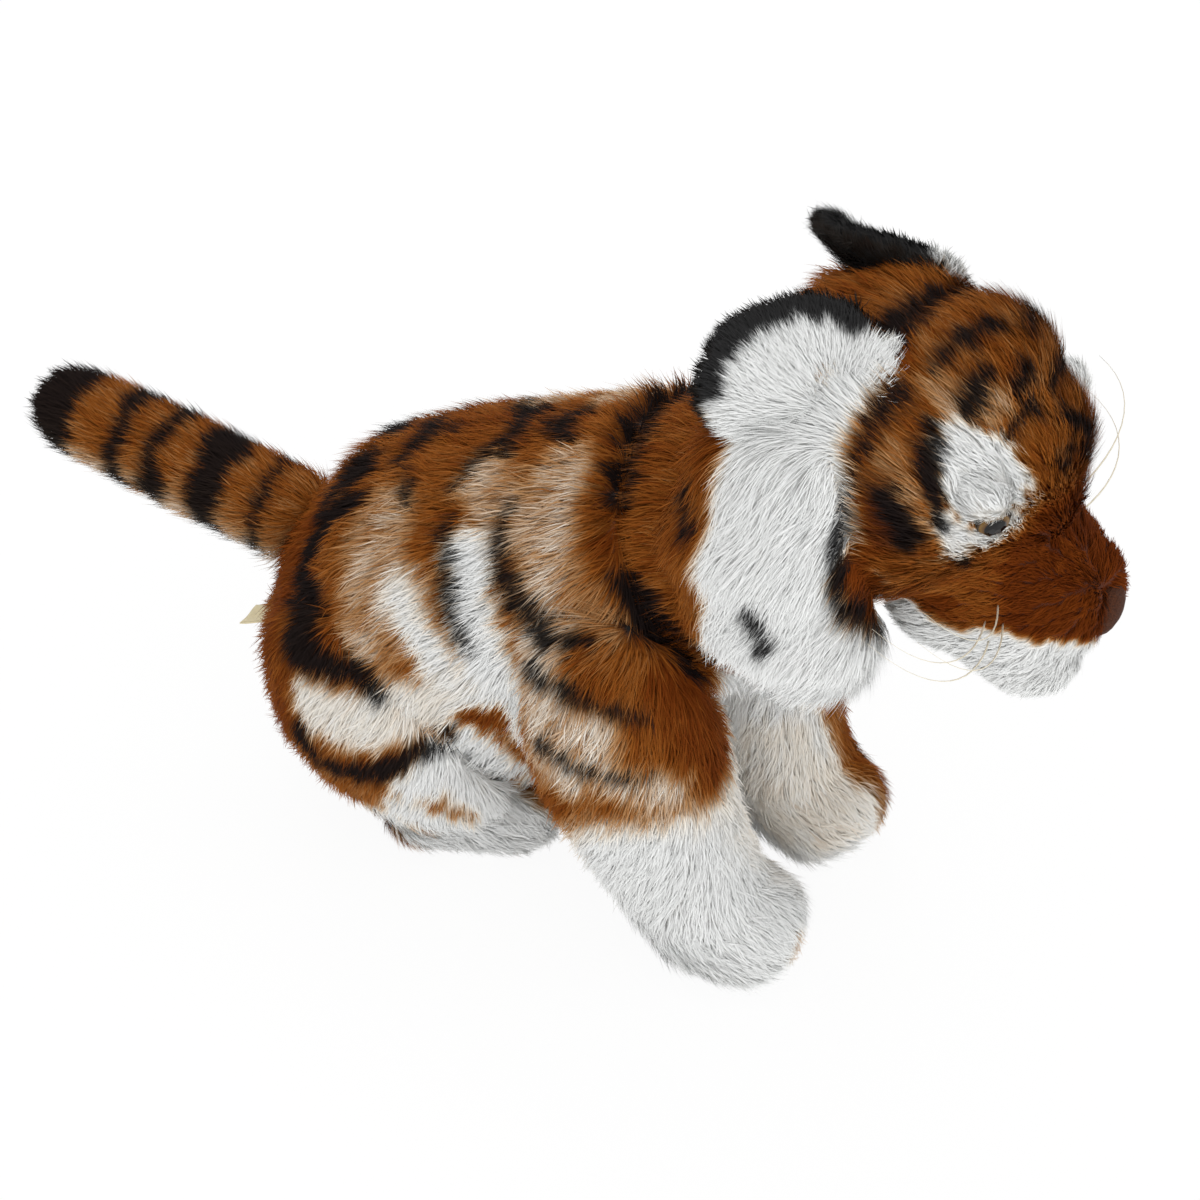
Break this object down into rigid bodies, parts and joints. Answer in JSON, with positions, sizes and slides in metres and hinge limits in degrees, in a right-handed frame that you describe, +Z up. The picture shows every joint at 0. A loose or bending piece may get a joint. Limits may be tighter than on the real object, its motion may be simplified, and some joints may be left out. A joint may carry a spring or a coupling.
{
  "type": "plush tiger",
  "caption": "Sitting soft toy tiger with a dropped head, rounded ears, cheek ruffs, forelegs set forward, tucked hind feet and a tail held out behind; head, ears, legs and tail move.",
  "frame": {"origin": "on the floor, at the middle of the flat patch under the rump", "axes": "+Z up, -Y the way the tiger faces, +X its own left, +Y along the tail"},
  "size_m": [0.1508, 0.4334, 0.2989],
  "materials": {
    "orange_plush": "deep pile",
    "white_plush": "deep pile",
    "rust_plush": "deep pile",
    "black_plush": "deep pile",
    "fibre_stuffing": "loose fibre",
    "nose_cloth": "short velour",
    "eye_plastic": "polished",
    "washer_plastic": "matt",
    "whisker_nylon": "satin",
    "label_satin": "satin"
  },
  "bodies": {
    "torso": {"belly_panel": "white_plush", "body_skin": "orange_plush", "body_stuffing": "fibre_stuffing", "label": "label_satin"},
    "neck": {"neck_skin": "orange_plush", "neck_stuffing": "fibre_stuffing"},
    "head": {"cheek_ruff_left": "white_plush", "cheek_ruff_right": "white_plush", "chin_cover": "white_plush", "eye_left": "eye_plastic", "eye_right": "eye_plastic", "eye_washer_left": "washer_plastic", "eye_washer_right": "washer_plastic", "head_skin": "orange_plush", "head_stuffing": "fibre_stuffing", "muzzle_cover": "rust_plush", "nose": "nose_cloth", "whisker_left_1": "whisker_nylon", "whisker_left_2": "whisker_nylon", "whisker_left_3": "whisker_nylon", "whisker_left_4": "whisker_nylon", "whisker_right_1": "whisker_nylon", "whisker_right_2": "whisker_nylon", "whisker_right_3": "whisker_nylon", "whisker_right_4": "whisker_nylon"},
    "ear_left": {"ear_back_left": "black_plush", "ear_lining_left": "white_plush"},
    "ear_right": {"ear_back_right": "black_plush", "ear_lining_right": "white_plush"},
    "front_leg_left": {"front_leg_skin_left": "orange_plush", "front_leg_stuffing_left": "fibre_stuffing", "front_paw_left": "white_plush"},
    "front_leg_right": {"front_leg_skin_right": "orange_plush", "front_leg_stuffing_right": "fibre_stuffing", "front_paw_right": "white_plush"},
    "hind_leg_left": {"hind_foot_left": "white_plush", "hind_leg_stuffing_left": "fibre_stuffing", "thigh_skin_left": "orange_plush"},
    "hind_leg_right": {"hind_foot_right": "white_plush", "hind_leg_stuffing_right": "fibre_stuffing", "thigh_skin_right": "orange_plush"},
    "tail": {"tail_skin": "orange_plush", "tail_stuffing": "fibre_stuffing", "tail_tip": "black_plush"}
  },
  "joints": [
    {"name": "head_turn", "type": "hinge", "parent": "torso", "child": "neck", "pos_m": [0, -0.127, 0.174], "axis": [0, 0, 1], "range_deg": [-15, 15]},
    {"name": "head_nod", "type": "hinge", "parent": "neck", "child": "head", "pos_m": [0, -0.127, 0.174], "axis": [1, 0, 0], "range_deg": [-8, 8]},
    {"name": "tail_wag", "type": "hinge", "parent": "torso", "child": "tail", "pos_m": [0, 0.056, 0.106], "axis": [0, 0, 1], "range_deg": [-25, 25]},
    {"name": "front_leg_swing_left", "type": "hinge", "parent": "torso", "child": "front_leg_left", "pos_m": [0.055, -0.105, 0.138], "axis": [-1, 0, 0], "range_deg": [-6, 15]},
    {"name": "front_leg_swing_right", "type": "hinge", "parent": "torso", "child": "front_leg_right", "pos_m": [-0.055, -0.105, 0.138], "axis": [-1, 0, 0], "range_deg": [-6, 15]},
    {"name": "hind_leg_lift_left", "type": "hinge", "parent": "torso", "child": "hind_leg_left", "pos_m": [0.056, 0, 0.066], "axis": [-1, 0, 0], "range_deg": [0, 12]},
    {"name": "hind_leg_lift_right", "type": "hinge", "parent": "torso", "child": "hind_leg_right", "pos_m": [-0.056, 0, 0.066], "axis": [-1, 0, 0], "range_deg": [0, 12]},
    {"name": "ear_flex_left", "type": "hinge", "parent": "head", "child": "ear_left", "pos_m": [0.0365, -0.17052, 0.26026], "axis": [0.4383, 0.8611, -0.2578], "range_deg": [-4, 20]},
    {"name": "ear_flex_right", "type": "hinge", "parent": "head", "child": "ear_right", "pos_m": [-0.0365, -0.17052, 0.26026], "axis": [0.4383, -0.8611, 0.2578], "range_deg": [-4, 20]}
  ]
}
